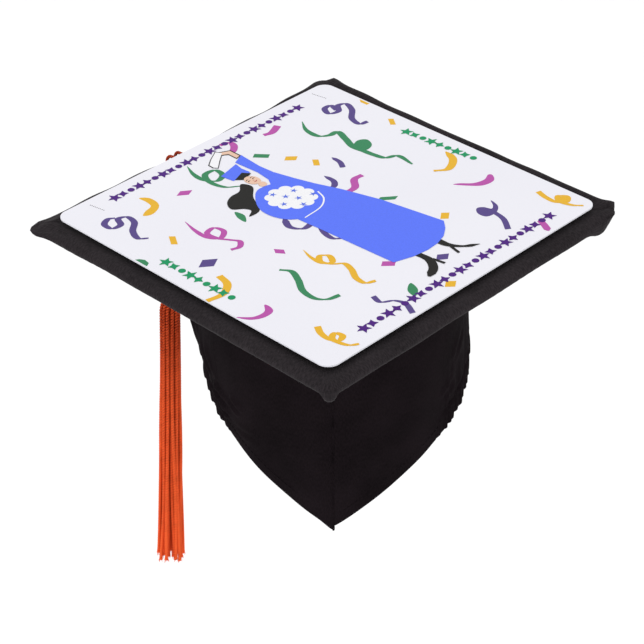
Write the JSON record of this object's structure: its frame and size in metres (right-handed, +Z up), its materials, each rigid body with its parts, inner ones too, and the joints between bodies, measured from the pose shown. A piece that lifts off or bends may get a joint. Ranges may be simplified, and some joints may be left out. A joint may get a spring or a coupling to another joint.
{
  "type": "graduation cap",
  "caption": "Square mortarboard cap with a padded cloth board, a fitted headpiece with a peaked front, a decorated card topper and a hanging tassel.",
  "frame": {"origin": "middle of the crown lining's underside, where the wearer's head touches", "axes": "+Z up out of the board's top, -Y the way the wearer faces, through the board's peak corner, +X the wearer's left"},
  "size_m": [0.3486, 0.3486, 0.3402],
  "materials": {
    "board_cloth": "dull black twill",
    "head_cloth": "dull black twill",
    "chipboard": "raw grey board",
    "wadding": "soft white wadding",
    "washer_steel": "plain",
    "card": "smooth coated card, printed",
    "hook_and_loop": "white hook-and-loop",
    "buckram": "stiff open weave",
    "elastic": "ribbed black elastic",
    "tassel_yarn": "orange-red twisted rayon yarn"
  },
  "bodies": {
    "cap": {"cover_top": "board_cloth", "cover_bottom": "board_cloth", "board_core": "chipboard", "board_padding": "wadding", "button": "board_cloth", "button_washer": "washer_steel", "hook_disc_1": "hook_and_loop", "hook_disc_2": "hook_and_loop", "hook_disc_3": "hook_and_loop", "hook_disc_4": "hook_and_loop", "crown_lining": "head_cloth", "front_panel_left": "head_cloth", "front_panel_right": "head_cloth", "back_panel_left": "head_cloth", "back_panel_right": "head_cloth", "stiffener_left": "buckram", "stiffener_right": "buckram", "sweatband": "head_cloth", "elastic_band": "elastic"},
    "topper": {"topper_card": "card", "loop_disc_1": "hook_and_loop", "loop_disc_2": "hook_and_loop", "loop_disc_3": "hook_and_loop", "loop_disc_4": "hook_and_loop"},
    "loop": {"loop_run": "tassel_yarn"},
    "drop": {"loop_drop_1": "tassel_yarn", "loop_drop_2": "tassel_yarn"},
    "tassel": {"tassel_head": "tassel_yarn", "tassel_binding": "tassel_yarn", "tassel_skirt": "tassel_yarn"}
  },
  "joints": [
    {"name": "topper_lift", "type": "slide", "parent": "cap", "child": "topper", "axis": [0, 0, 1], "range_m": [0, 0.06]},
    {"name": "loop_turn", "type": "hinge", "parent": "cap", "child": "loop", "pos_m": [0, 0, 0.0087], "axis": [0, 0, 1], "range_deg": [-12, 2]},
    {"name": "tassel_swing", "type": "hinge", "parent": "loop", "child": "drop", "pos_m": [-0.09991, 0.08012, -0.0015], "axis": [0.7071, 0.7071, 0], "range_deg": [-15, 100]},
    {"name": "tassel_sway", "type": "hinge", "parent": "drop", "child": "tassel", "pos_m": [-0.10557, 0.07446, -0.078], "axis": [-0.7071, 0.7071, 0], "range_deg": [-45, 45]}
  ]
}
